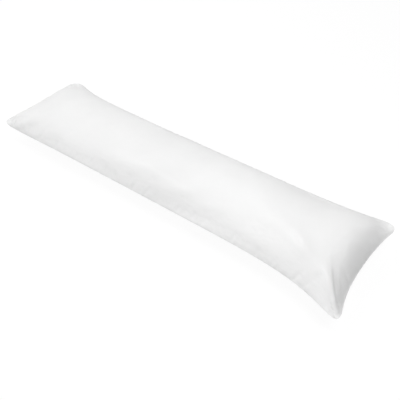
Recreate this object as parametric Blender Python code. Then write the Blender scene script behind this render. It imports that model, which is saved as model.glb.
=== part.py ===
"""A filled body pillow of plain white cloth, lying flat on its underside.

Units are metres and +Z is up. +X runs along the pillow to its near end, -Y is its near long side,
and the origin lies on the surface below the middle of the pillow. A top and a bottom panel of one
cut meet in a knife-edge seam, so the pillow is one closed form and the seam is its sharp edge.
"""

import math
from typing import NamedTuple

import bmesh
import bpy
from mathutils import Vector

# The sewn cover, measured flat.
FLAT_LENGTH = 1.45
FLAT_WIDTH = 0.40

# The filling draws the corners this much nearer together.
LENGTH_TAKE_UP = 0.010
WIDTH_TAKE_UP = 0.015
HALF_LENGTH = (FLAT_LENGTH - LENGTH_TAKE_UP) / 2
HALF_WIDTH = (FLAT_WIDTH - WIDTH_TAKE_UP) / 2

# Heights above the surface, and the crown above the seam.
SEAM_HEIGHT = 0.075
CROWN_RISE = 0.080

# The underside would sag this far below the surface, so it lies flat there over a wide strip.
UNDERSIDE_SAG = 0.030
UNDERSIDE_BLEND = 0.010

# How the section fills out from the seam to the middle line, and from an end towards the middle.
SECTION_FULLNESS = 0.85
SECTION_ROUNDING = 0.60
END_FULLNESS = 0.75

# The higher this is, the crisper the hips that run in from the corners.
HIP_SHARPNESS = 2.5
NO_RISE = 1e-6

# Flat distances from an end over which the long sides and the end seams draw in.
SIDE_REACH = 0.128
SIDE_REACH_POWER = 1.3
END_REACH = 0.109
END_REACH_POWER = 1.5
END_CURVE_POWER = 2.2

# How far a raised or lowered corner bends the seam along its end and towards the other side.
CORNER_LENGTH = 0.20
CORNER_FADE = 3.0

# The cells of one panel: small ones towards both ends, where the folds are, and long ones between.
END_ZONE = 0.22
END_CELLS = 22
MIDDLE_CELLS = 26
CELLS_ALONG = MIDDLE_CELLS + 2 * END_CELLS
CELLS_ACROSS = 34

# A fold starts this far inside the seam, and the seam itself stays smooth.
FOLD_MARGIN = 0.030
FOLD_STEPS = 24
SLOPE_STEP = 0.002

CLOTH_WHITE = (0.90, 0.90, 0.90, 1.0)
CLOTH_ROUGHNESS = 0.85
CLOTH_SHEEN = 0.20
SEAM_ANGLE = math.radians(50)


class Side(NamedTuple):
    """A long side: how far it draws in, and how much more so towards the near end."""

    draw_in: float
    lean: float


class End(NamedTuple):
    """An end: how far its seam is pulled in, how much more so towards +Y, and its slope's length."""

    pull_in: float
    lean: float
    slope_length: float


class Corner(NamedTuple):
    """A corner: which end (+1 near) and side (-1 near), its radius and its seam's height."""

    end: int
    side: int
    radius: float
    height: float


class Fold(NamedTuple):
    """A ridge, or a trough where the rise is negative, along a bent line on the top panel.

    The line runs on the flat panel, and the fold is strongest at its start and fades to its
    finish. A sharpness of 2 gives a round fold, and less gives a narrower ridge line.
    """

    start: tuple
    bend: tuple
    finish: tuple
    half_width: float
    rise: float
    sharpness: float


NEAR_SIDE = Side(draw_in=0.040, lean=0.76)
FAR_SIDE = Side(draw_in=0.046, lean=-0.41)
NEAR_END = End(pull_in=0.032, lean=-0.33, slope_length=0.125)
FAR_END = End(pull_in=0.031, lean=-0.14, slope_length=0.150)

CORNERS = (
    Corner(end=1, side=-1, radius=0.056, height=0.068),
    Corner(end=1, side=1, radius=0.045, height=0.083),
    Corner(end=-1, side=1, radius=0.045, height=0.066),
    Corner(end=-1, side=-1, radius=0.044, height=0.086),
)

FOLDS = (
    # The crease from the near corner up to the shoulder of the near end, and the trough beside it.
    Fold((0.700, -0.160), (0.690, -0.105), (0.570, -0.060), 0.020, 0.0090, 1.8),
    Fold((0.710, -0.130), (0.700, -0.075), (0.610, -0.035), 0.018, -0.0080, 2.0),
    # A shorter fold in the slope of the near end, between the crease and the end seam.
    Fold((0.706, -0.090), (0.690, -0.045), (0.640, -0.010), 0.018, 0.0050, 2.0),
    # The ridge from the near end's far corner to the same shoulder, and the dip below it.
    Fold((0.700, 0.155), (0.675, 0.105), (0.590, 0.055), 0.018, 0.0060, 1.5),
    Fold((0.706, 0.120), (0.690, 0.085), (0.640, 0.050), 0.016, -0.0050, 2.0),
    # The far end: the pinched corner on the near side, with the puckers beside it.
    Fold((-0.695, -0.160), (-0.640, -0.120), (-0.520, -0.080), 0.016, 0.0070, 1.5),
    Fold((-0.655, -0.168), (-0.600, -0.150), (-0.500, -0.125), 0.011, -0.0060, 1.6),
    Fold((-0.585, -0.168), (-0.540, -0.155), (-0.450, -0.140), 0.012, -0.0045, 1.8),
    # The far end's other corner, and a shallow dip in its slope.
    Fold((-0.695, 0.160), (-0.650, 0.115), (-0.560, 0.055), 0.020, 0.0060, 1.6),
    Fold((-0.700, 0.030), (-0.670, 0.010), (-0.600, -0.020), 0.022, -0.0040, 2.0),
    # Uneven filling: hollows along the near side, and a fuller and a flatter stretch of the crown.
    Fold((0.020, -0.130), (0.150, -0.125), (0.300, -0.110), 0.040, -0.0050, 2.0),
    Fold((0.020, -0.130), (-0.100, -0.135), (-0.260, -0.130), 0.040, -0.0050, 2.0),
    Fold((0.330, -0.030), (0.250, -0.020), (0.080, 0.010), 0.060, 0.0040, 2.0),
    Fold((0.480, 0.060), (0.440, 0.070), (0.360, 0.090), 0.045, -0.0035, 2.0),
)


def clear_scene():
    """Removes whatever the scene holds."""
    for thing in list(bpy.data.objects):
        bpy.data.objects.remove(thing)


def on_flat_panel(u, v):
    """The place on the flat panel, in metres, of a grid point from -1 to 1 each way."""
    middle_share = MIDDLE_CELLS / CELLS_ALONG
    half_middle = HALF_LENGTH - END_ZONE
    if abs(u) <= middle_share:
        from_middle = abs(u) / middle_share * half_middle
    else:
        from_middle = half_middle + (abs(u) - middle_share) / (1 - middle_share) * END_ZONE
    return math.copysign(from_middle, u), v * HALF_WIDTH


def with_rounded_corner(x, y):
    """A place of the square-cornered panel, moved so that the panel's corners are rounded."""
    for corner in CORNERS:
        along = corner.end * x - (HALF_LENGTH - corner.radius)
        across = corner.side * y - (HALF_WIDTH - corner.radius)
        if along > 0 and across > 0:
            shrink = max(along, across) / math.hypot(along, across)
            x = corner.end * (HALF_LENGTH - corner.radius + along * shrink)
            y = corner.side * (HALF_WIDTH - corner.radius + across * shrink)
    return x, y


def plan_place(x, y):
    """Where the filling draws a place of the flat panel, seen from above."""
    x, y = with_rounded_corner(x, y)
    from_end = HALF_LENGTH - abs(x)
    along = x / HALF_LENGTH
    across = y / HALF_WIDTH
    side = NEAR_SIDE if y < 0 else FAR_SIDE
    settled = 1 - math.exp(-((from_end / SIDE_REACH) ** SIDE_REACH_POWER))
    half_width = HALF_WIDTH - side.draw_in * (1 + side.lean * along) * settled
    rounded = math.sin(across * math.pi / 2)
    plan_y = half_width * (SECTION_ROUNDING * rounded + (1 - SECTION_ROUNDING) * across)
    end = NEAR_END if x > 0 else FAR_END
    pull = end.pull_in * (1 + end.lean * across) * (1 - abs(across) ** END_CURVE_POWER)
    pull *= math.exp(-((from_end / END_REACH) ** END_REACH_POWER))
    return x - math.copysign(pull, x), plan_y


def seam_height(x, y):
    """The seam's height above the surface: level along the sides, with raised or lowered corners."""
    height = SEAM_HEIGHT
    for corner in CORNERS:
        from_end = HALF_LENGTH - corner.end * x
        near_end = max(0.0, 1 - from_end / CORNER_LENGTH) ** 2
        near_side = ((1 + corner.side * y / HALF_WIDTH) / 2) ** CORNER_FADE
        height += (corner.height - SEAM_HEIGHT) * near_end * near_side
    return height


def crown_rise(x, y):
    """How far the top panel stands above the seam: the lower of an end's and a side's slope.

    The two slopes blend where they meet, along a soft hip that runs in from each corner.
    """
    end = NEAR_END if x > 0 else FAR_END
    up_end = min(1.0, (HALF_LENGTH - abs(x)) / end.slope_length)
    lengthwise = math.sin(up_end * math.pi / 2) ** END_FULLNESS
    crosswise = max(0.0, math.cos(y / HALF_WIDTH * math.pi / 2)) ** SECTION_FULLNESS
    if min(lengthwise, crosswise) < NO_RISE:
        return 0.0
    steepness = lengthwise ** -HIP_SHARPNESS + crosswise ** -HIP_SHARPNESS - 1
    return CROWN_RISE * steepness ** (-1 / HIP_SHARPNESS)


def smooth_top(x, y):
    """The top panel without its folds."""
    plan_x, plan_y = plan_place(x, y)
    return Vector((plan_x, plan_y, seam_height(x, y) + crown_rise(x, y)))


def underside(x, y):
    """The bottom panel: the crown's mirror, flat where it rests on the surface."""
    plan_x, plan_y = plan_place(x, y)
    seam = seam_height(x, y)
    fall = crown_rise(x, y) * (SEAM_HEIGHT + UNDERSIDE_SAG) / CROWN_RISE
    height = seam - fall
    if height < UNDERSIDE_BLEND:
        height = max(0.0, height + UNDERSIDE_BLEND) ** 2 / (4 * UNDERSIDE_BLEND)
    return Vector((plan_x, plan_y, height))


def outward(x, y):
    """The direction in which the smooth top panel faces."""
    step_x = math.copysign(SLOPE_STEP, -x)
    step_y = math.copysign(SLOPE_STEP, -y)
    here = smooth_top(x, y)
    along = (smooth_top(x + step_x, y) - here) / step_x
    across = (smooth_top(x, y + step_y) - here) / step_y
    return along.cross(across).normalized()


def fold_line(fold):
    """Points along a fold's bent line, each with how far along it lies."""
    start, bend, finish = Vector(fold.start), Vector(fold.bend), Vector(fold.finish)
    line = []
    for step in range(FOLD_STEPS + 1):
        along = step / FOLD_STEPS
        point = (1 - along) ** 2 * start + 2 * along * (1 - along) * bend + along ** 2 * finish
        line.append((point, along))
    return line


FOLD_LINES = [(fold, fold_line(fold)) for fold in FOLDS]


def folds_rise(x, y):
    """How far all folds together lift the top panel, or lower it."""
    to_seam = min(HALF_LENGTH - abs(x), HALF_WIDTH - abs(y))
    inside = min(1.0, to_seam / FOLD_MARGIN)
    here = Vector((x, y))
    rise = 0.0
    for fold, line in FOLD_LINES:
        distance, along = min(((here - point).length, along) for point, along in line)
        profile = math.exp(-((distance / fold.half_width) ** fold.sharpness))
        rise += fold.rise * profile * (1 - along ** 2)
    return rise * inside


def top_panel(x, y):
    """The top panel with its folds."""
    rise = folds_rise(x, y)
    place = smooth_top(x, y)
    return place + outward(x, y) * rise if rise else place


def panel_mesh(surface, faces_up):
    """One panel as a grid of cells, shaped by a function of the place on the flat panel."""
    panel = bmesh.new()
    bmesh.ops.create_grid(panel, x_segments=CELLS_ALONG, y_segments=CELLS_ACROSS, size=1.0)
    for vertex in panel.verts:
        vertex.co = surface(*on_flat_panel(vertex.co.x, vertex.co.y))
    if not faces_up:
        bmesh.ops.reverse_faces(panel, faces=panel.faces)
    mesh = bpy.data.meshes.new("panel")
    panel.to_mesh(mesh)
    panel.free()
    return mesh


def centred_on_surface(form):
    """Moves the form so that its box stands on the surface with its middle over the origin."""
    low = Vector(min(vertex.co[axis] for vertex in form.verts) for axis in range(3))
    high = Vector(max(vertex.co[axis] for vertex in form.verts) for axis in range(3))
    middle = (low + high) / 2
    bmesh.ops.translate(form, verts=form.verts, vec=(-middle.x, -middle.y, -low.z))


def sewn_form():
    """Both panels joined along the seam into one closed mesh."""
    form = bmesh.new()
    for surface, faces_up in ((top_panel, True), (underside, False)):
        panel = panel_mesh(surface, faces_up)
        form.from_mesh(panel)
        bpy.data.meshes.remove(panel)
    bmesh.ops.remove_doubles(form, verts=form.verts, dist=1e-6)
    centred_on_surface(form)
    mesh = bpy.data.meshes.new("body_pillow")
    form.to_mesh(mesh)
    form.free()
    mesh.shade_smooth()
    mesh.set_sharp_from_angle(angle=SEAM_ANGLE)
    return mesh


def white_cloth():
    """Plain woven white cloth."""
    material = bpy.data.materials.new("white_cloth")
    material.use_nodes = True
    shader = material.node_tree.nodes["Principled BSDF"]
    shader.inputs["Base Color"].default_value = CLOTH_WHITE
    shader.inputs["Roughness"].default_value = CLOTH_ROUGHNESS
    shader.inputs["Metallic"].default_value = 0.0
    shader.inputs["Sheen Weight"].default_value = CLOTH_SHEEN
    return material


def make_body_pillow():
    """The filled pillow, one closed piece."""
    mesh = sewn_form()
    mesh.materials.append(white_cloth())
    pillow = bpy.data.objects.new("body_pillow", mesh)
    bpy.context.scene.collection.objects.link(pillow)
    return pillow


clear_scene()
make_body_pillow()
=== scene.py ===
"""A body pillow of plain white cloth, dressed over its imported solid.

Everything is in metres, in the solid's own frame: +Z is up, +X runs along the pillow to its near
end, -Y is its near long side, and the origin lies on the surface below the pillow's middle.
"""

import logging
import math
from dataclasses import dataclass, field
from enum import Enum
from typing import NamedTuple

import bpy
import numpy as np
from mathutils import Matrix, Vector


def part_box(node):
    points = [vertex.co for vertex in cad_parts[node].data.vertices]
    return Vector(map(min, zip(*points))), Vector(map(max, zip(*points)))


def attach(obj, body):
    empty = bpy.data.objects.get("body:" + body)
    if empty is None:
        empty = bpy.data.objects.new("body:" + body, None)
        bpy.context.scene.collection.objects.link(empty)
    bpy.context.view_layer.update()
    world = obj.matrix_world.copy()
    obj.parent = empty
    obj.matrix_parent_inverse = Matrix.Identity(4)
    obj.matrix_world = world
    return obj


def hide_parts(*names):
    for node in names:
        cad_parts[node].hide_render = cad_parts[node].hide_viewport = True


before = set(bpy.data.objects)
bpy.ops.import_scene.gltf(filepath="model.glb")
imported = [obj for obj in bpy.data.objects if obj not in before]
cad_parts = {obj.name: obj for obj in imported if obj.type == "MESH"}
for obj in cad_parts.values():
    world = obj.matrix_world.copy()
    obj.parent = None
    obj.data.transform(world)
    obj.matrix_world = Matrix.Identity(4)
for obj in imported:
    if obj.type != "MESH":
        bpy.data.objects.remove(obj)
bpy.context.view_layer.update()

log = logging.getLogger("body_pillow")

SOLID_NODE = "body_pillow"


class Panel(Enum):
    """The two cut panels of the cover; the value is the side on which a panel lies."""

    TOP = 1
    UNDER = -1


class Side(NamedTuple):
    """A long side: how far it draws in, and how much more so towards the near end."""

    draw_in: float
    lean: float


class End(NamedTuple):
    """An end: how far its seam is pulled in, how much more so towards +Y, and its slope's length.

    The side reach is how far from the end the long sides take to draw in.
    """

    pull_in: float
    lean: float
    slope_length: float
    side_reach: float


class Corner(NamedTuple):
    """A corner: which end (+1 near) and side (-1 near), and its radius and its seam's height.

    The ear is how far the filling keeps out of the corner, and the hip is how much crisper the
    filling's edge is beside it.
    """

    end: int
    side: int
    radius: float
    height: float
    ear: float
    hip: float


class Fold(NamedTuple):
    """A ridge, or a trough where the rise is negative, along a bent line on the flat top panel."""

    start: tuple[float, float]
    bend: tuple[float, float]
    finish: tuple[float, float]
    half_width: float
    rise: float
    sharpness: float


class Swell(NamedTuple):
    """A fuller place of the filling, or a slacker one where the rise is negative, on the top panel."""

    x: float
    y: float
    half_length: float
    half_width: float
    turn: float
    rise: float


# A separate program fitted these numbers to the photograph. Many of the swells overlap, and only
# their sum is meant, so no row is a lump that was seen and measured by itself.
UNEVEN_FILLING = (
    # The near flank's fuller places.
    Swell(-0.511, -0.129, 0.160, 0.033, -0.01, 0.0087),
    Swell(-0.215, -0.125, 0.102, 0.016, -0.28, 0.0024),
    Swell(-0.015, -0.104, 0.154, 0.033, 0.01, 0.0230),
    Swell(0.118, -0.111, 0.090, 0.031, 0.26, 0.0086),
    Swell(0.238, -0.112, 0.087, 0.022, 0.35, 0.0049),
    Swell(0.407, -0.139, 0.119, 0.029, -0.18, 0.0075),
    Swell(0.565, -0.104, 0.089, 0.034, -0.27, 0.0260),
    # The near flank's slacker places.
    Swell(-0.431, -0.141, 0.043, 0.084, 0.71, -0.0034),
    Swell(-0.218, -0.204, 0.119, 0.038, -0.14, -0.0078),
    Swell(0.007, -0.112, 0.105, 0.024, -0.05, -0.0126),
    Swell(0.166, -0.203, 0.136, 0.025, 0.05, -0.0169),
    Swell(0.410, -0.134, 0.156, 0.053, -0.17, -0.0075),
    Swell(0.562, -0.112, 0.125, 0.025, -0.24, -0.0146),
    Swell(0.577, -0.098, 0.037, 0.034, -0.31, -0.0068),
    # The far flank.
    Swell(0.554, 0.071, 0.053, 0.157, 0.13, -0.0024),
    Swell(0.468, 0.140, 0.076, 0.054, 0.15, -0.0086),
    Swell(0.270, 0.109, 0.092, 0.050, 0.12, 0.0027),
    Swell(0.104, 0.081, 0.068, 0.042, -0.11, -0.0073),
    Swell(0.017, 0.127, 0.084, 0.028, -0.52, 0.0026),
    Swell(-0.168, 0.122, 0.091, 0.025, 0.05, 0.0068),
    Swell(-0.388, 0.119, 0.146, 0.040, -0.17, 0.0035),
    # The crown and the slope to the near end.
    Swell(0.420, -0.043, 0.087, 0.052, -0.61, 0.0080),
    Swell(0.085, -0.036, 0.241, 0.082, -0.71, -0.0083),
    Swell(-0.148, -0.007, 0.092, 0.044, 0.36, 0.0038),
    Swell(0.264, -0.055, 0.050, 0.036, 0.42, -0.0027),
    Swell(0.052, -0.011, 0.136, 0.050, 0.82, 0.0080),
    Swell(-0.348, -0.029, 0.113, 0.053, 0.80, -0.0043),
    Swell(-0.561, 0.027, 0.055, 0.141, 0.24, -0.0043),
    Swell(0.629, -0.055, 0.139, 0.036, -1.62, -0.0075),
)

# These folds were placed by hand at first, and the same program then fitted their numbers too.
MAIN_FOLDS = (
    # The crease from the near corner up to the shoulder of the near end, and the trough beside it.
    Fold((0.708, -0.152), (0.678, -0.127), (0.607, -0.050), 0.026, 0.0150, 2.6),
    Fold((0.715, -0.118), (0.692, -0.105), (0.627, -0.048), 0.037, -0.0184, 2.6),
    # A shorter fold in the slope of the near end, between the crease and the end seam.
    Fold((0.705, -0.116), (0.691, -0.053), (0.640, -0.066), 0.019, 0.0075, 2.3),
    # Two shallow troughs in the same slope, from the near end's far corner.
    Fold((0.715, 0.144), (0.680, 0.101), (0.596, 0.118), 0.015, -0.0031, 2.5),
    Fold((0.715, 0.109), (0.708, 0.082), (0.630, 0.057), 0.022, -0.0043, 2.5),
    # The far end's corner on the near side: a trough, a ridge and a deeper trough.
    Fold((-0.692, -0.146), (-0.630, -0.156), (-0.533, -0.037), 0.020, -0.0052, 1.3),
    Fold((-0.621, -0.190), (-0.601, -0.128), (-0.498, -0.146), 0.024, 0.0076, 2.6),
    Fold((-0.578, -0.149), (-0.544, -0.131), (-0.452, -0.119), 0.028, -0.0114, 2.0),
    # A trough at the far end's other corner, and a shallow one in its slope.
    Fold((-0.676, 0.129), (-0.631, 0.129), (-0.556, 0.065), 0.035, -0.0076, 2.2),
    Fold((-0.702, 0.028), (-0.668, 0.026), (-0.602, 0.001), 0.017, -0.0016, 2.0),
)

# Chosen one by one.
CREASES = (
    # The crisp edge of the near corner's crease, the trough beside it and the small ridge beyond.
    Fold((0.713, -0.157), (0.670, -0.122), (0.622, -0.050), 0.008, 0.0028, 1.0),
    Fold((0.716, -0.140), (0.665, -0.104), (0.645, -0.058), 0.008, -0.0026, 1.2),
    Fold((0.702, -0.104), (0.686, -0.080), (0.658, -0.052), 0.008, 0.0020, 1.3),
)


@dataclass
class PillowForm:
    """The filled shape that the two sewn panels take, worked out from the pillow's sizes.

    A place on a panel is given by its x and y on the flat, square-cornered panel. Most of the sizes,
    and all those of the sides and ends, were fitted to the photograph by a separate program. The
    underside's sizes and the radii of the near end's corners were set one by one.
    """

    half_length: float = 0.720
    half_width: float = 0.1925
    seam_level: float = 0.075
    crown: float = 0.0647
    under_sag: float = 0.030
    under_blend: float = 0.010
    under_fullness: float = 1.02
    under_end_fullness: float = 1.45
    under_rounding: float = 0.28
    section_fullness: float = 0.7915
    section_rounding: float = 0.3607
    end_fullness: float = 0.8577
    hip_sharpness: float = 1.8000
    hip_reach: float = 0.0716
    side_reach_power: float = 1.3
    end_reach: float = 0.109
    end_reach_power: float = 1.5
    end_curve_power: float = 2.2
    corner_length: float = 0.20
    corner_fade: float = 3.0
    cut_length: float = 1.455
    cut_width: float = 0.40
    lowest: float = 0.0
    fold_margin: float = 0.030
    fold_points: int = 121
    facing_step: float = 0.002
    near_side: Side = Side(draw_in=0.0353, lean=0.83)
    far_side: Side = Side(draw_in=0.0391, lean=-0.55)
    near_end: End = End(pull_in=0.0344, lean=-0.31, slope_length=0.105, side_reach=0.141)
    far_end: End = End(pull_in=0.0087, lean=-0.89, slope_length=0.156, side_reach=0.131)
    corners: tuple[Corner, ...] = (
        Corner(end=1, side=-1, radius=0.053, height=0.068, ear=0.048, hip=3.6),
        Corner(end=1, side=1, radius=0.045, height=0.083, ear=0.055, hip=7.0),
        Corner(end=-1, side=1, radius=0.065, height=0.066, ear=0.042, hip=0.0),
        Corner(end=-1, side=-1, radius=0.047, height=0.086, ear=0.029, hip=4.4),
    )
    folds: tuple[Fold, ...] = MAIN_FOLDS
    creases: tuple[Fold, ...] = CREASES
    swells: tuple[Swell, ...] = UNEVEN_FILLING

    def rounded(self, x: np.ndarray, y: np.ndarray) -> tuple[np.ndarray, np.ndarray]:
        """Rounds the panel's corners.

        Args:
            x: Places along the square-cornered panel.
            y: Places across it.

        Returns:
            The same places on the panel as it is cut.
        """
        x, y = x.copy(), y.copy()
        for corner in self.corners:
            along = corner.end * x - (self.half_length - corner.radius)
            across = corner.side * y - (self.half_width - corner.radius)
            inside = (along > 0) & (across > 0)
            reach = np.where(inside, np.hypot(along, across), 1.0)
            shrink = np.maximum(along, across) / np.maximum(reach, 1e-9)
            moved_x = corner.end * (self.half_length - corner.radius + along * shrink)
            moved_y = corner.side * (self.half_width - corner.radius + across * shrink)
            x = np.where(inside, moved_x, x)
            y = np.where(inside, moved_y, y)
        return x, y

    def plan(self, x: np.ndarray, y: np.ndarray,
             rounding: float) -> tuple[np.ndarray, np.ndarray]:
        """Finds where the filling draws each place, seen from above.

        Args:
            x: Places along the square-cornered panel.
            y: Places across it.
            rounding: How much steeper than a plain arch the panel's section starts at the seam.

        Returns:
            The places' x and y on the filled pillow.
        """
        x, y = self.rounded(x, y)
        from_end = self.half_length - np.abs(x)
        along, across = x / self.half_length, y / self.half_width
        nearer = np.clip(0.5 + along, 0, 1)
        side_reach = self.far_end.side_reach * (1 - nearer) + self.near_end.side_reach * nearer
        settled = 1 - np.exp(-((from_end / side_reach) ** self.side_reach_power))
        near = self.near_side.draw_in * (1 + self.near_side.lean * along)
        far = self.far_side.draw_in * (1 + self.far_side.lean * along)
        half_width = self.half_width - np.where(y < 0, near, far) * settled
        bowed = np.sin(across * math.pi / 2)
        plan_y = half_width * (rounding * bowed + (1 - rounding) * across)
        near = self.near_end.pull_in * (1 + self.near_end.lean * across)
        far = self.far_end.pull_in * (1 + self.far_end.lean * across)
        pull = np.where(x > 0, near, far) * (1 - np.abs(across) ** self.end_curve_power)
        pull = pull * np.exp(-((from_end / self.end_reach) ** self.end_reach_power))
        return x - np.sign(x) * pull, plan_y

    def seam_height(self, x: np.ndarray, y: np.ndarray) -> np.ndarray:
        """The seam's height above the surface, with its raised or lowered corners."""
        height = np.full_like(x, self.seam_level)
        for corner in self.corners:
            from_end = self.half_length - corner.end * x
            near_end = np.clip(1 - from_end / self.corner_length, 0, 1) ** 2
            near_side = ((1 + corner.side * y / self.half_width) / 2) ** self.corner_fade
            height += (corner.height - self.seam_level) * near_end * near_side
        return height

    def rise(self, x: np.ndarray, y: np.ndarray, fullness: float,
             end_fullness: float) -> np.ndarray:
        """How far a panel stands off the seam, from 0 to 1: the lower of two softly joined slopes.

        Args:
            x: Places along the square-cornered panel.
            y: Places across it.
            fullness: The power of the section's arch; a lower one is fuller.
            end_fullness: The same for the slope up from an end.

        Returns:
            The share of the full rise at each place.
        """
        length = np.where(x > 0, self.near_end.slope_length, self.far_end.slope_length)
        up_end = np.clip((self.half_length - np.abs(x)) / length, 0, 1)
        lengthwise = np.sin(up_end * math.pi / 2) ** end_fullness
        crosswise = np.clip(np.cos(y / self.half_width * math.pi / 2), 0, 1)
        crosswise = crosswise ** fullness
        on_seam = np.minimum(lengthwise, crosswise) < 1e-6
        lengthwise, crosswise = np.maximum(lengthwise, 1e-6), np.maximum(crosswise, 1e-6)
        power = np.full_like(x, self.hip_sharpness)
        filled = np.ones_like(x)
        for corner in self.corners:
            tuck = corner.radius * (1 - math.sqrt(0.5))
            from_tip = np.hypot(corner.end * x - self.half_length + tuck,
                                corner.side * y - self.half_width + tuck)
            filled = filled * (1 - np.exp(-((from_tip / corner.ear) ** 2)))
            power += corner.hip * np.exp(-((from_tip / self.hip_reach) ** 2))
        steepness = lengthwise ** -power + crosswise ** -power - 1
        return np.where(on_seam, 0.0, filled * steepness ** (-1 / power))

    def smooth_top(self, x: np.ndarray, y: np.ndarray) -> np.ndarray:
        """The top panel without its folds."""
        plan_x, plan_y = self.plan(x, y, self.section_rounding)
        rise = self.rise(x, y, self.section_fullness, self.end_fullness)
        height = self.seam_height(x, y) + self.crown * rise
        return np.stack([plan_x, plan_y, height], axis=-1)

    def underside(self, x: np.ndarray, y: np.ndarray) -> np.ndarray:
        """The bottom panel, flat where it rests on the surface."""
        plan_x, plan_y = self.plan(x, y, self.under_rounding)
        fall = self.rise(x, y, self.under_fullness, self.under_end_fullness)
        height = self.seam_height(x, y) - fall * (self.seam_level + self.under_sag)
        blend = self.under_blend
        eased = np.maximum(0, height + blend) ** 2 / (4 * blend)
        return np.stack([plan_x, plan_y, np.where(height < blend, eased, height)], axis=-1)

    def outward(self, x: np.ndarray, y: np.ndarray) -> np.ndarray:
        """The direction in which the smooth top panel faces."""
        step = self.facing_step
        step_x, step_y = np.where(x > 0, -step, step), np.where(y > 0, -step, step)
        here = self.smooth_top(x, y)
        along = (self.smooth_top(x + step_x, y) - here) / step_x[..., None]
        across = (self.smooth_top(x, y + step_y) - here) / step_y[..., None]
        facing = np.cross(along, across)
        return facing / np.maximum(np.linalg.norm(facing, axis=-1, keepdims=True), 1e-12)

    def relief(self, x: np.ndarray, y: np.ndarray, folds: tuple[Fold, ...],
               swells: tuple[Swell, ...] = ()) -> np.ndarray:
        """How far folds and uneven filling lift the top panel, or lower it.

        Args:
            x: Places along the square-cornered panel.
            y: Places across it.
            folds: The ridges and troughs.
            swells: The fuller and slacker places.

        Returns:
            The lift at each place, which fades out at the seam.
        """
        rise = np.zeros_like(x)
        steps = np.linspace(0, 1, self.fold_points)
        for fold in folds:
            weights = ((1 - steps) ** 2, 2 * steps * (1 - steps), steps ** 2)
            corners = (fold.start, fold.bend, fold.finish)
            line = sum(w[:, None] * np.array(c) for w, c in zip(weights, corners))
            gaps = np.hypot(x[..., None] - line[:, 0], y[..., None] - line[:, 1])
            nearest = gaps.argmin(axis=-1)
            gap = np.take_along_axis(gaps, nearest[..., None], axis=-1)[..., 0]
            profile = np.exp(-((gap / fold.half_width) ** fold.sharpness))
            rise += fold.rise * profile * (1 - steps[nearest] ** 2)
        for swell in swells:
            level, upright = math.cos(swell.turn), math.sin(swell.turn)
            along = ((x - swell.x) * level + (y - swell.y) * upright) / swell.half_length
            across = ((y - swell.y) * level - (x - swell.x) * upright) / swell.half_width
            rise += swell.rise * np.exp(-(along ** 2) - across ** 2)
        return rise * np.clip(self.seam_gap(x, y) / self.fold_margin, 0, 1)

    def top(self, x: np.ndarray, y: np.ndarray) -> np.ndarray:
        """The top panel with its folds and its uneven filling."""
        lift = self.relief(x, y, self.folds, self.swells)
        return self.smooth_top(x, y) + self.outward(x, y) * lift[..., None]

    def seam_gap(self, x: np.ndarray, y: np.ndarray) -> np.ndarray:
        """How far each place lies inside the seam, on the flat panel."""
        return np.minimum(self.half_length - np.abs(x), self.half_width - np.abs(y))

    def seam_facing(self, x: np.ndarray, y: np.ndarray) -> np.ndarray:
        """The level direction that points out of the pillow across the nearest seam."""
        at_end = self.half_length - np.abs(x) < self.half_width - np.abs(y)
        facing = np.stack([np.where(at_end, np.sign(x), 0.0),
                           np.where(at_end, 0.0, np.sign(y))], -1)
        for corner in self.corners:
            along = corner.end * x - (self.half_length - corner.radius)
            across = corner.side * y - (self.half_width - corner.radius)
            inside = (along > 0) & (across > 0)
            reach = np.maximum(np.hypot(along, across), 1e-9)
            turned = np.stack([corner.end * along / reach, corner.side * across / reach], -1)
            facing = np.where(inside[..., None], turned, facing)
        return facing


class Seam(Enum):
    """The four edges of the cut, as the axis that runs across the seam and the seam's side of it."""

    NEAR_SIDE = (1, -1)
    FAR_SIDE = (1, 1)
    NEAR_END = (0, 1)
    FAR_END = (0, -1)


class Pucker(NamedTuple):
    """A short furrow that the stitching gathers in the cloth, running in from a seam."""

    seam: Seam
    place: float
    run: float
    slant: float
    half_width: float
    depth: float


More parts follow.
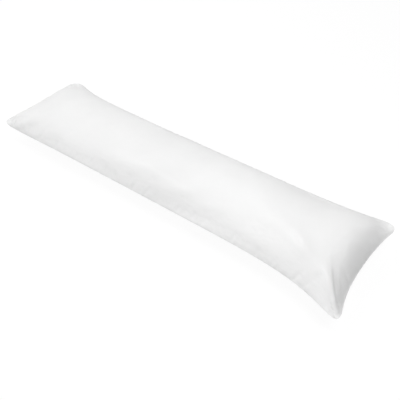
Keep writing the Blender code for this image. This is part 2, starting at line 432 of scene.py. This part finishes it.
# Along the near long side, from the far end to the near one, and then at the ends.
PLAIN_TO_SEE = (
    Pucker(Seam.NEAR_SIDE, -0.655, 0.055, -0.35, 0.010, 0.0030),
    Pucker(Seam.NEAR_SIDE, -0.600, 0.050, -0.30, 0.010, 0.0030),
    Pucker(Seam.NEAR_SIDE, -0.515, 0.045, 0.20, 0.009, 0.0022),
    Pucker(Seam.NEAR_SIDE, -0.430, 0.030, 0.15, 0.008, 0.0012),
    Pucker(Seam.NEAR_SIDE, -0.251, 0.030, 0.25, 0.007, 0.0016),
    Pucker(Seam.NEAR_SIDE, -0.180, 0.034, 0.10, 0.008, 0.0018),
    Pucker(Seam.NEAR_SIDE, -0.128, 0.026, -0.20, 0.007, 0.0014),
    Pucker(Seam.NEAR_SIDE, -0.047, 0.030, 0.15, 0.008, 0.0016),
    Pucker(Seam.NEAR_SIDE, 0.005, 0.024, 0.30, 0.006, 0.0012),
    Pucker(Seam.NEAR_SIDE, 0.047, 0.034, -0.10, 0.008, 0.0018),
    Pucker(Seam.NEAR_SIDE, 0.135, 0.028, 0.20, 0.007, 0.0014),
    Pucker(Seam.NEAR_SIDE, 0.235, 0.026, -0.20, 0.008, 0.0012),
    Pucker(Seam.NEAR_SIDE, 0.340, 0.024, 0.15, 0.007, 0.0010),
    Pucker(Seam.NEAR_SIDE, 0.430, 0.026, -0.15, 0.007, 0.0014),
    Pucker(Seam.NEAR_SIDE, 0.480, 0.022, 0.10, 0.006, 0.0012),
    Pucker(Seam.NEAR_SIDE, 0.555, 0.026, 0.25, 0.007, 0.0012),
    Pucker(Seam.NEAR_END, -0.060, 0.034, 0.20, 0.008, 0.0016),
    Pucker(Seam.NEAR_END, 0.035, 0.030, -0.20, 0.008, 0.0016),
    Pucker(Seam.FAR_END, -0.090, 0.040, 0.30, 0.009, 0.0020),
    Pucker(Seam.FAR_END, 0.020, 0.034, -0.15, 0.009, 0.0016),
    Pucker(Seam.FAR_END, 0.095, 0.030, 0.10, 0.008, 0.0014),
)


@dataclass
class SeamWork:
    """The knife-edge seam: its narrow lip, its puckers, and the crisp creases that run in from it."""

    lip: float = 0.0016
    lip_width: float = 0.0030
    pinch: float = 0.55
    pinch_width: float = 0.0045
    puckers: tuple[Pucker, ...] = PLAIN_TO_SEE
    small_spacing: float = 0.023
    small_run: tuple[float, float] = (0.012, 0.038)
    small_half_width: tuple[float, float] = (0.004, 0.010)
    small_depth: tuple[float, float] = (0.0002, 0.0010)
    small_slant: tuple[float, float] = (-0.6, 0.6)
    small_unevenness: tuple[float, float] = (0.5, 1.5)
    deepest_at: float = 0.35
    ridge_at: float = 1.5
    seed: int = 11

    def small_puckers(self, form: PillowForm) -> list[Pucker]:
        """Faint puckers at uneven places along all four seams."""
        draw = np.random.default_rng(self.seed)
        made = []
        for seam in Seam:
            half = form.half_length if seam.value[0] == 1 else form.half_width
            place = -half + form.corners[0].radius
            while place < half - form.corners[0].radius:
                made.append(Pucker(seam, place, draw.uniform(*self.small_run),
                                   draw.uniform(*self.small_slant),
                                   draw.uniform(*self.small_half_width),
                                   draw.uniform(*self.small_depth)))
                place += self.small_spacing * draw.uniform(*self.small_unevenness)
        return made

    def furrow(self, form: PillowForm, pucker: Pucker, x: np.ndarray, y: np.ndarray) -> np.ndarray:
        """How far one pucker lifts each place: a furrow between two soft ridges."""
        axis, side = pucker.seam.value
        gap = (form.half_width - side * y) if axis == 1 else (form.half_length - side * x)
        beside = (x if axis == 1 else y) - pucker.place - pucker.slant * gap
        across = beside / pucker.half_width
        ridges = [np.exp(-((across - place) ** 2)) for place in (self.ridge_at, -self.ridge_at)]
        section = 0.5 * (ridges[0] + ridges[1]) - np.exp(-(across ** 2))
        inward = gap / (self.deepest_at * pucker.run)
        return pucker.depth * section * inward * np.exp(1 - inward)

    def sew(self, cover: bpy.types.Object, form: PillowForm) -> None:
        """Shapes the lip, the puckers and the crisp creases on the finished cover.

        Args:
            cover: The pillow's cover, with its places on the cut as attributes.
            form: The filled shape, which knows where the seam runs.
        """
        mesh = cover.data
        places = vertex_numbers(mesh, "co", 3)
        x, y = point_attribute(mesh, "cut_x"), point_attribute(mesh, "cut_y")
        gap = form.seam_gap(x, y)
        normals = mesh_normals(mesh)
        lift = form.relief(x, y, form.creases)
        for pucker in (*self.puckers, *self.small_puckers(form)):
            lift += self.furrow(form, pucker, x, y)
        places += normals * lift[:, None]
        seam_z = form.seam_height(x, y) - form.lowest
        near = np.exp(-((gap / self.pinch_width) ** 2))
        places[:, 2] += (seam_z - places[:, 2]) * self.pinch * near
        out = self.lip * np.exp(-((gap / self.lip_width) ** 2))
        places[:, :2] += form.seam_facing(x, y) * out[:, None]
        places[:, 2] = np.maximum(places[:, 2], 0.0)
        set_vertex_numbers(mesh, "co", places)
        mesh.update()


def vertex_numbers(mesh: bpy.types.Mesh, name: str, width: int) -> np.ndarray:
    """Reads a number or vector of every vertex.

    Args:
        mesh: The mesh to read.
        name: The vertex property.
        width: How many numbers it has.

    Returns:
        One row for each vertex.
    """
    numbers = np.empty(len(mesh.vertices) * width, np.float32)
    mesh.vertices.foreach_get(name, numbers)
    return numbers.astype(float).reshape(-1, width)


def set_vertex_numbers(mesh: bpy.types.Mesh, name: str, numbers: np.ndarray) -> None:
    """Writes a number or vector of every vertex."""
    mesh.vertices.foreach_set(name, numbers.astype(np.float32).ravel())


def mesh_normals(mesh: bpy.types.Mesh) -> np.ndarray:
    """The direction in which each vertex faces."""
    numbers = np.empty(len(mesh.vertices) * 3, np.float32)
    mesh.vertex_normals.foreach_get("vector", numbers)
    return numbers.astype(float).reshape(-1, 3)


def point_attribute(mesh: bpy.types.Mesh, name: str) -> np.ndarray:
    """Reads a number that each vertex carries."""
    numbers = np.empty(len(mesh.vertices), np.float32)
    mesh.attributes[name].data.foreach_get("value", numbers)
    return numbers.astype(float)


def set_point_attribute(mesh: bpy.types.Mesh, name: str, numbers: np.ndarray) -> None:
    """Gives each vertex a number of its own."""
    attribute = mesh.attributes.get(name) or mesh.attributes.new(name, "FLOAT", "POINT")
    attribute.data.foreach_set("value", numbers.astype(np.float32).ravel())


def select_only(*pieces: bpy.types.Object) -> None:
    """Selects these objects and nothing else, the first of them active."""
    bpy.ops.object.select_all(action="DESELECT")
    for piece in pieces:
        piece.select_set(True)
    bpy.context.view_layer.objects.active = pieces[0]


@dataclass
class PanelGrid:
    """The cells of a panel: narrow rings along the seam, small cells at the ends, wide ones between."""

    rings: tuple[float, ...] = (0.0, 0.0025, 0.005, 0.009, 0.0145, 0.022)
    end_zone: float = 0.22
    end_cells: int = 38
    middle_cells: int = 72
    cross_cells: int = 21

    def spaced(self, half: float, *stretches: tuple[float, int]) -> np.ndarray:
        """Places the grid's lines over one dimension of the panel.

        Args:
            half: Half of that dimension.
            stretches: How far in from the seam each stretch ends, and its cells.

        Returns:
            The lines' places, from -half to half.
        """
        inward = list(self.rings)
        for finish, cells in stretches:
            inward += list(np.linspace(inward[-1], finish, cells + 1)[1:])
        lines = np.array(inward) - half
        return np.concatenate([lines, -lines[-2::-1]])

    def panel(self, form: PillowForm, side: Panel) -> bpy.types.Object:
        """Makes one panel in its filled shape.

        Args:
            form: The filled shape.
            side: Which of the two panels.

        Returns:
            The panel's object, its places on the cut kept as attributes and as a UV map in metres.
        """
        along = self.spaced(form.half_length, (self.end_zone, self.end_cells),
                            (form.half_length, self.middle_cells))
        across = self.spaced(form.half_width, (form.half_width, self.cross_cells))
        bpy.ops.object.select_all(action="DESELECT")
        bpy.ops.mesh.primitive_grid_add(
            x_subdivisions=len(along) - 1, y_subdivisions=len(across) - 1, size=2)
        panel = bpy.context.object
        if side is Panel.UNDER:
            bpy.ops.object.mode_set(mode="EDIT")
            bpy.ops.mesh.select_all(action="SELECT")
            bpy.ops.mesh.flip_normals()
            bpy.ops.object.mode_set(mode="OBJECT")
        x, y = (flat.ravel() for flat in np.meshgrid(along, across))
        shape = form.top(x, y) if side is Panel.TOP else form.underside(x, y)
        set_vertex_numbers(panel.data, "co", shape)
        for name, numbers in (("cut_x", x), ("cut_y", y)):
            set_point_attribute(panel.data, name, numbers)
        corners = np.empty(len(panel.data.loops), np.int32)
        panel.data.loops.foreach_get("vertex_index", corners)
        rounded = np.stack(form.rounded(x, y), axis=-1)
        panel.data.uv_layers[0].name = "cut"
        panel.data.uv_layers["cut"].uv.foreach_set(
            "vector", rounded[corners].astype(np.float32).ravel())
        panel.data.update()
        return panel

    def cover(self, form: PillowForm) -> bpy.types.Object:
        """Joins both panels along the seam into one closed cover."""
        panels = [self.panel(form, side) for side in Panel]
        select_only(*panels)
        bpy.ops.object.join()
        bpy.ops.object.mode_set(mode="EDIT")
        bpy.ops.mesh.select_all(action="SELECT")
        bpy.ops.mesh.remove_doubles(threshold=1e-6)
        bpy.ops.object.mode_set(mode="OBJECT")
        cover = bpy.context.object
        form.lowest = vertex_numbers(cover.data, "co", 3)[:, 2].min()
        return cover


@dataclass
class ClothSettling:
    """A short cloth simulation: the filling presses the spare cloth of the cut into soft folds."""

    frames: int = 24
    quality: int = 6
    pressure: float = 4.0
    tension: float = 15.0
    shear: float = 5.0
    bending: float = 6.0
    damping: float = 25.0
    bending_damping: float = 2.0
    air_damping: float = 20.0
    mass: float = 0.3
    hold_inside: float = 0.15
    hold_at_seam: float = 0.50
    hold_stiffness: float = 1.0
    seam_zone: float = 0.060
    reach: float = 0.012
    resting: float = 0.001

    def hold(self, cover: bpy.types.Object, form: PillowForm) -> None:
        """Holds the cloth softly to the filled shape, and firmly where it rests on the surface."""
        mesh = cover.data
        x, y = point_attribute(mesh, "cut_x"), point_attribute(mesh, "cut_y")
        height = vertex_numbers(mesh, "co", 3)[:, 2]
        inside = np.clip(form.seam_gap(x, y) / self.seam_zone, 0, 1)
        weight = self.hold_at_seam + (self.hold_inside - self.hold_at_seam) * inside
        weight = np.where(height < height.min() + self.resting, 1.0, np.round(weight, 2))
        group = cover.vertex_groups.new(name="hold")
        for value in np.unique(weight):
            group.add(np.flatnonzero(weight == value).tolist(), float(value), "REPLACE")

    def settle(self, cover: bpy.types.Object, form: PillowForm) -> float:
        """Runs the simulation and leaves its result in the cover's mesh.

        Args:
            cover: The cover in its filled shape.
            form: The filled shape, which knows the flat cut.

        Returns:
            The furthest that a point has moved, in metres.
        """
        mesh = cover.data
        before = vertex_numbers(mesh, "co", 3)
        self.hold(cover, form)
        cover.shape_key_add(name="filled")
        flat = cover.shape_key_add(name="cut")
        x, y = point_attribute(mesh, "cut_x"), point_attribute(mesh, "cut_y")
        x, y = form.rounded(x, y)
        cut = np.stack([x * form.cut_length / form.half_length / 2,
                        y * form.cut_width / form.half_width / 2, np.zeros_like(x)], axis=-1)
        flat.data.foreach_set("co", cut.astype(np.float32).ravel())
        cloth = cover.modifiers.new("settling", "CLOTH")
        rules = cloth.settings
        rules.quality = self.quality
        rules.mass = self.mass
        rules.rest_shape_key = flat
        rules.vertex_group_mass = "hold"
        rules.pin_stiffness = self.hold_stiffness
        rules.tension_stiffness = rules.compression_stiffness = self.tension
        rules.shear_stiffness = self.shear
        rules.bending_stiffness = self.bending
        rules.tension_damping = rules.compression_damping = rules.shear_damping = self.damping
        rules.bending_damping = self.bending_damping
        rules.air_damping = self.air_damping
        rules.use_pressure = True
        rules.uniform_pressure_force = self.pressure
        rules.effector_weights.gravity = 0.0
        cloth.collision_settings.use_collision = False
        cloth.collision_settings.use_self_collision = False
        scene = bpy.context.scene
        scene.frame_start, scene.frame_end = 1, self.frames
        cloth.point_cache.frame_start, cloth.point_cache.frame_end = 1, self.frames
        for step in range(1, self.frames + 1):
            scene.frame_set(step)
        settled = cover.evaluated_get(bpy.context.evaluated_depsgraph_get()).data
        moved = vertex_numbers(settled, "co", 3) - before
        length = np.linalg.norm(moved, axis=1, keepdims=True)
        capped = self.reach * np.tanh(length / self.reach)
        moved *= capped / np.maximum(length, 1e-9)
        cover.modifiers.remove(cloth)
        cover.shape_key_clear()
        cover.vertex_groups.clear()
        scene.frame_set(1)
        set_vertex_numbers(mesh, "co", before + moved)
        mesh.update()
        return float(capped.max())


class Board:
    """Adds, sets and links the nodes of one tree."""

    def __init__(self, tree: bpy.types.NodeTree) -> None:
        """Takes the tree to work in."""
        self.tree = tree

    def add(self, kind: str, **settings: object) -> bpy.types.Node:
        """Adds a node and sets its named properties."""
        node = self.tree.nodes.new(kind)
        for name, value in settings.items():
            setattr(node, name, value)
        return node

    def put(self, socket: bpy.types.NodeSocket, value: object) -> None:
        """Links a socket to a node's output, or sets its own value."""
        if isinstance(value, bpy.types.NodeSocket):
            self.tree.links.new(value, socket)
        else:
            socket.default_value = value

    def math(self, operation: str, first: object, second: object = 0.0) -> bpy.types.NodeSocket:
        """Works out a number from one or two others."""
        node = self.add("ShaderNodeMath", operation=operation)
        self.put(node.inputs[0], first)
        self.put(node.inputs[1], second)
        return node.outputs[0]

    def stretched(self, place: object, scale: tuple[float, float, float]) -> bpy.types.NodeSocket:
        """Multiplies a place by a scale for each axis."""
        node = self.add("ShaderNodeVectorMath", operation="MULTIPLY")
        self.put(node.inputs[0], place)
        self.put(node.inputs[1], scale)
        return node.outputs[0]

    def noise(self, place: object, scale: float, detail: float = 2.0) -> bpy.types.NodeSocket:
        """Soft noise from 0 to 1 at a number of lumps for each metre."""
        node = self.add("ShaderNodeTexNoise")
        self.put(node.inputs["Vector"], place)
        node.inputs["Scale"].default_value = scale
        node.inputs["Detail"].default_value = detail
        return node.outputs[0]

    def mixed(self, share: object, first: object, second: object) -> bpy.types.NodeSocket:
        """Mixes two colours; a share of 1 gives the second."""
        node = self.add("ShaderNodeMix", data_type="RGBA")
        for name, value in (("Factor", share), ("A", first), ("B", second)):
            self.put(node.inputs[name], value)
        return node.outputs["Result"]

    def ranged(self, value: object, low: float, high: float, to_low: float,
               to_high: float) -> bpy.types.NodeSocket:
        """Moves a number from one range smoothly into another."""
        node = self.add("ShaderNodeMapRange", interpolation_type="SMOOTHSTEP")
        self.put(node.inputs[0], value)
        for index, number in enumerate((low, high, to_low, to_high), start=1):
            node.inputs[index].default_value = number
        return node.outputs[0]


def node_group(name: str, takes: dict[str, str], gives: dict[str, str]) -> bpy.types.NodeTree:
    """Makes an empty group of shader nodes.

    Args:
        name: The group's name.
        takes: The inputs' names and socket types.
        gives: The outputs' names and socket types.

    Returns:
        The group's tree, without any nodes.
    """
    group = bpy.data.node_groups.new(name, "ShaderNodeTree")
    for words, way in ((takes, "INPUT"), (gives, "OUTPUT")):
        for socket, kind in words.items():
            group.interface.new_socket(socket, in_out=way, socket_type=kind)
    return group


def plain_weave() -> bpy.types.NodeTree:
    """Over-and-under threads, from the place on the cloth in metres and the threads' pitch."""
    group = node_group("plain_weave", {"Place": "NodeSocketVector", "Pitch": "NodeSocketFloat"},
                       {"Height": "NodeSocketFloat"})
    board = Board(group)
    taken = board.add("NodeGroupInput")
    split = board.add("ShaderNodeSeparateXYZ")
    board.put(split.inputs[0], taken.outputs["Place"])
    waves = []
    for axis in (0, 1):
        turns = board.math("DIVIDE", split.outputs[axis], taken.outputs["Pitch"])
        waves.append(board.math("SINE", board.math("MULTIPLY", turns, math.pi)))
    over = board.math("MULTIPLY", board.math("MULTIPLY", waves[0], waves[1]), 0.5)
    over = board.math("ADD", over, 0.5)
    warp = board.math("SQRT", board.math("ABSOLUTE", waves[0]))
    weft = board.math("SQRT", board.math("ABSOLUTE", waves[1]))
    under = board.math("SUBTRACT", 1.0, over)
    height = board.math("ADD", board.math("MULTIPLY", over, warp),
                        board.math("MULTIPLY", under, weft))
    given = board.add("NodeGroupOutput")
    board.put(given.inputs["Height"], height)
    return group


def slubs() -> bpy.types.NodeTree:
    """Thicker stretches of thread, running both ways through the cloth."""
    group = node_group("slubs", {"Place": "NodeSocketVector"}, {"Mask": "NodeSocketFloat"})
    board = Board(group)
    taken = board.add("NodeGroupInput")
    ways = []
    for stretch in ((60.0, 1800.0, 1.0), (1800.0, 60.0, 1.0)):
        thread = board.noise(board.stretched(taken.outputs["Place"], stretch), 1.0)
        ways.append(board.ranged(thread, 0.60, 0.80, 0.0, 1.0))
    given = board.add("NodeGroupOutput")
    board.put(given.inputs["Mask"], board.math("MAXIMUM", *ways))
    return group


def soft_patches() -> bpy.types.NodeTree:
    """Slow unevenness over the cloth, from 0 to 1."""
    group = node_group("soft_patches", {"Place": "NodeSocketVector"}, {"Mask": "NodeSocketFloat"})
    board = Board(group)
    taken = board.add("NodeGroupInput")
    broad = board.noise(taken.outputs["Place"], 9.0, 3.0)
    given = board.add("NodeGroupOutput")
    board.put(given.inputs["Mask"], board.ranged(broad, 0.3, 0.7, 0.0, 1.0))
    return group


@dataclass(frozen=True)
class CottonFinish:
    """Washed white plain-weave cotton, with painted shade in a thin line along its seam."""

    light: tuple[float, float, float, float] = (0.80, 0.80, 0.80, 1.0)
    shade: tuple[float, float, float, float] = (0.775, 0.775, 0.775, 1.0)
    thread_pitch: float = 0.0004
    thread_relief: float = 0.00004
    slub_relief: float = 0.00006
    ripple_relief: float = 0.0018
    ripples_per_metre: float = 42.0
    ripple_on_crown: float = 0.25
    slack_from: tuple[float, float] = (0.05, 0.14)
    # Painted shade: a thin darker line along the seam, standing in for the shade in the seam's groove.
    painted_seam_shade: tuple[float, float, float, float] = (0.69, 0.69, 0.69, 1.0)
    seam_shade_reach: tuple[float, float] = (0.001, 0.007)
    seam_shade_patches_per_metre: float = 11.0
    seam_shade_patches_from: tuple[float, float] = (0.38, 0.60)
    seam_shade_least: float = 0.25
    patch_share: float = 0.6
    slub_share: float = 0.4
    specular: float = 0.25
    roughness: tuple[float, float] = (0.82, 0.92)
    sheen: float = 0.15
    sheen_roughness: float = 0.40

    def material(self, form: PillowForm) -> bpy.types.Material:
        """Makes the cloth's material.

        Args:
            form: The filled shape, which knows how far the seam lies from the cut's middle.

        Returns:
            A material that reads its place on the cloth from the UV map of the cut.
        """
        made = bpy.data.materials.new("white_cotton")
        made.use_nodes = True
        board = Board(made.node_tree)
        shader = made.node_tree.nodes["Principled BSDF"]
        cut = board.add("ShaderNodeUVMap", uv_map="cut").outputs["UV"]
        solid = board.add("ShaderNodeTexCoord").outputs["Object"]
        patches = self.effect(board, soft_patches(), Place=solid)
        threads = self.effect(board, plain_weave(), Place=cut, Pitch=self.thread_pitch)
        thick = self.effect(board, slubs(), Place=cut)
        tone = board.math("ADD", board.math("MULTIPLY", patches, self.patch_share),
                          board.math("MULTIPLY", thick, self.slub_share))
        split = board.add("ShaderNodeSeparateXYZ")
        board.put(split.inputs[0], cut)
        from_middle = [board.math("ABSOLUTE", split.outputs[axis]) for axis in (0, 1)]
        inside = [board.math("SUBTRACT", half, place)
                  for half, place in zip((form.half_length, form.half_width), from_middle)]
        # Painted shade along the seam's groove, broken into soft patches.
        edge = board.ranged(board.math("MINIMUM", *inside), *self.seam_shade_reach, 1.0, 0.0)
        uneven = board.ranged(board.noise(cut, self.seam_shade_patches_per_metre),
                              *self.seam_shade_patches_from, self.seam_shade_least, 1.0)
        cloth = board.mixed(tone, self.light, self.shade)
        cloth_with_painted_seam_shade = board.mixed(board.math("MULTIPLY", edge, uneven), cloth, self.painted_seam_shade)
        board.put(shader.inputs["Base Color"], cloth_with_painted_seam_shade)
        board.put(shader.inputs["Roughness"], board.ranged(tone, 0.0, 1.0, *self.roughness))
        shader.inputs["Sheen Weight"].default_value = self.sheen
        shader.inputs["Sheen Roughness"].default_value = self.sheen_roughness
        shader.inputs["Specular IOR Level"].default_value = self.specular
        slack = board.ranged(from_middle[1], *self.slack_from, self.ripple_on_crown, 1.0)
        ripple = board.math("MULTIPLY", board.noise(cut, self.ripples_per_metre, 3.0), slack)
        relief = board.math("MULTIPLY", ripple, self.ripple_relief)
        for share, size in ((threads, self.thread_relief), (thick, self.slub_relief)):
            relief = board.math("ADD", relief, board.math("MULTIPLY", share, size))
        bump = board.add("ShaderNodeBump")
        bump.inputs["Distance"].default_value = 1.0
        board.put(bump.inputs["Height"], relief)
        board.put(shader.inputs["Normal"], bump.outputs["Normal"])
        return made

    @staticmethod
    def effect(board: Board, group: bpy.types.NodeTree, **values: object) -> bpy.types.NodeSocket:
        """Places a group in the material and returns its first output."""
        node = board.add("ShaderNodeGroup", node_tree=group)
        for name, value in values.items():
            board.put(node.inputs[name], value)
        return node.outputs[0]


@dataclass(frozen=True)
class FloorFinish:
    """A pale, matt studio floor that glows evenly to the camera, so that shadows stay faint."""

    tone: float = 0.66
    glow: float = 1.06
    glow_share: float = 0.88

    def material(self) -> bpy.types.Material:
        """Makes the floor's material.

        Returns:
            A matt floor whose glow the camera sees, but which doesn't light the pillow.
        """
        made = bpy.data.materials.new("pale_floor")
        made.use_nodes = True
        board = Board(made.node_tree)
        matt = made.node_tree.nodes["Principled BSDF"]
        matt.inputs["Base Color"].default_value = (self.tone, self.tone, self.tone, 1.0)
        matt.inputs["Roughness"].default_value = 1.0
        matt.inputs["Specular IOR Level"].default_value = 0.0
        glow = board.add("ShaderNodeEmission")
        glow.inputs["Strength"].default_value = self.glow
        seen = board.add("ShaderNodeLightPath").outputs["Is Camera Ray"]
        share = board.math("MULTIPLY", seen, self.glow_share)
        both = board.add("ShaderNodeMixShader")
        board.put(both.inputs[0], share)
        board.put(both.inputs[1], matt.outputs[0])
        board.put(both.inputs[2], glow.outputs[0])
        board.put(made.node_tree.nodes["Material Output"].inputs["Surface"], both.outputs[0])
        return made


@dataclass
class BodyPillow:
    """The whole pillow: a cover of two sewn panels round its filling."""

    form: PillowForm = field(default_factory=PillowForm)
    grid: PanelGrid = field(default_factory=PanelGrid)
    settling: ClothSettling = field(default_factory=ClothSettling)
    seam: SeamWork = field(default_factory=SeamWork)
    finish: CottonFinish = field(default_factory=CottonFinish)

    def build(self) -> bpy.types.Object:
        """Makes the pillow and dresses it.

        Returns:
            The finished pillow, riding on the solid that it stands for.
        """
        pillow = self.grid.cover(self.form)
        pillow.name = pillow.data.name = "pillow_cover"
        self.lay_down(pillow)
        furthest = self.settling.settle(pillow, self.form)
        log.info("settling moved the cloth by up to %.1f mm", furthest * 1000)
        self.refine(pillow)
        self.seam.sew(pillow, self.form)
        bpy.ops.object.shade_smooth()
        pillow.data.materials.clear()
        pillow.data.materials.append(self.finish.material(self.form))
        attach(pillow, "root")
        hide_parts(SOLID_NODE)
        log.info("%s has %d faces", pillow.name, len(pillow.data.polygons))
        return pillow

    def lay_down(self, pillow: bpy.types.Object) -> None:
        """Lowers or lifts the mesh until it rests on the surface, as the solid does."""
        places = vertex_numbers(pillow.data, "co", 3)
        places[:, 2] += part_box(SOLID_NODE)[0].z - places[:, 2].min()
        set_vertex_numbers(pillow.data, "co", places)
        pillow.data.update()

    def refine(self, pillow: bpy.types.Object) -> None:
        """Divides every cell once, keeping the seam a crisp edge."""
        mesh = pillow.data
        x, y = point_attribute(mesh, "cut_x"), point_attribute(mesh, "cut_y")
        on_seam = self.form.seam_gap(x, y) < 1e-6
        ends = np.empty(len(mesh.edges) * 2, np.int32)
        mesh.edges.foreach_get("vertices", ends)
        crease = on_seam[ends.reshape(-1, 2)].all(axis=1).astype(np.float32)
        mesh.attributes.new("crease_edge", "FLOAT", "EDGE").data.foreach_set("value", crease)
        select_only(pillow)
        finer = pillow.modifiers.new("finer", "SUBSURF")
        finer.levels = finer.render_levels = 1
        bpy.ops.object.modifier_apply(modifier=finer.name)


@dataclass
class SoftLight:
    """A large, soft studio light."""

    name: str
    place: tuple[float, float, float]
    width: float
    depth: float
    power: float

    def build(self) -> bpy.types.Object:
        """Makes the light, turned towards the pillow's middle."""
        data = bpy.data.lights.new(self.name, "AREA")
        data.shape = "RECTANGLE"
        data.size, data.size_y = self.width, self.depth
        data.energy = self.power
        light = bpy.data.objects.new(self.name, data)
        light.location = self.place
        light.rotation_mode = "QUATERNION"
        light.rotation_quaternion = Vector(self.place).to_track_quat("Z", "Y")
        bpy.context.scene.collection.objects.link(light)
        return light


@dataclass
class Studio:
    """A plain pale floor under soft lights, before a backdrop that the camera sees as white.

    The powers and the ambient light were fitted to the photograph's tones by a separate program.
    """

    half_floor: float = 6.0
    finish: FloorFinish = field(default_factory=FloorFinish)
    ambient: float = 0.145
    backdrop: float = 1.0
    lights: tuple[SoftLight, ...] = (
        SoftLight("over_far_end", (-0.6, 0.0, 1.6), 0.9, 0.9, 5.9),
        SoftLight("over_near_end", (0.9, 0.0, 1.6), 0.9, 0.9, 15.8),
        SoftLight("back_far_side", (-1.6, 1.6, 1.8), 1.6, 1.6, 15.3),
        SoftLight("back_near_side", (-1.6, -1.6, 1.8), 1.6, 1.6, 5.9),
        SoftLight("behind", (-2.4, 0.0, 1.6), 1.6, 2.2, 21.8),
        SoftLight("near_low", (0.0, -2.4, 0.7), 2.4, 1.0, 21.6),
        SoftLight("far_side", (0.0, 2.4, 1.6), 2.4, 1.6, 8.9),
    )

    def build(self) -> None:
        """Makes the floor, the lights and the even light from all round."""
        bpy.ops.object.select_all(action="DESELECT")
        bpy.ops.mesh.primitive_plane_add(size=2 * self.half_floor)
        floor = bpy.context.object
        floor.name = floor.data.name = "floor"
        floor.data.materials.append(self.finish.material())
        for light in self.lights:
            light.build()
        world = bpy.data.worlds.new("studio")
        world.use_nodes = True
        background = world.node_tree.nodes["Background"]
        background.inputs["Color"].default_value = (1.0, 1.0, 1.0, 1.0)
        board = Board(world.node_tree)
        seen = board.add("ShaderNodeLightPath").outputs["Is Camera Ray"]
        shown = board.math("MULTIPLY", seen, self.backdrop)
        board.put(background.inputs["Strength"], board.math("MAXIMUM", shown, self.ambient))
        bpy.context.scene.world = world
        bpy.context.scene.view_settings.view_transform = "Standard"
        log.info("studio with %d lights", len(self.lights))


@dataclass
class PhotoCamera:
    """The photograph's viewing angle, fitted to the pillow's outline by a separate program."""

    azimuth: float = math.radians(39.94)
    elevation: float = math.radians(47.95)
    roll: float = math.radians(-3.22)
    distance: float = 1.3592
    aim: tuple[float, float, float] = (0.1699, -0.0661, 0.08)
    lens: float = 38.03
    sensor: float = 36.0

    def build(self) -> bpy.types.Object:
        """Makes the camera and gives it to the scene."""
        flat = math.cos(self.elevation)
        back = Vector((math.sin(self.azimuth) * flat, -math.cos(self.azimuth) * flat,
                       math.sin(self.elevation)))
        level = Vector((math.cos(self.azimuth), math.sin(self.azimuth), 0.0))
        upright = back.cross(level)
        right = math.cos(self.roll) * level + math.sin(self.roll) * upright
        up = math.cos(self.roll) * upright - math.sin(self.roll) * level
        eye = Vector(self.aim) + back * self.distance
        data = bpy.data.cameras.new("photo_camera")
        data.lens, data.sensor_width = self.lens, self.sensor
        data.clip_start, data.clip_end = 0.05, 50.0
        camera = bpy.data.objects.new("photo_camera", data)
        turn = Matrix((right, up, back)).transposed().to_4x4()
        camera.matrix_world = Matrix.Translation(eye) @ turn
        bpy.context.scene.collection.objects.link(camera)
        bpy.context.scene.camera = camera
        log.info("camera at %s", tuple(round(number, 3) for number in eye))
        return camera


def main() -> None:
    """Builds the pillow, the studio and the camera."""
    logging.basicConfig(level=logging.INFO, format="%(message)s")
    BodyPillow().build()
    Studio().build()
    PhotoCamera().build()


if __name__ == "__main__":
    main()
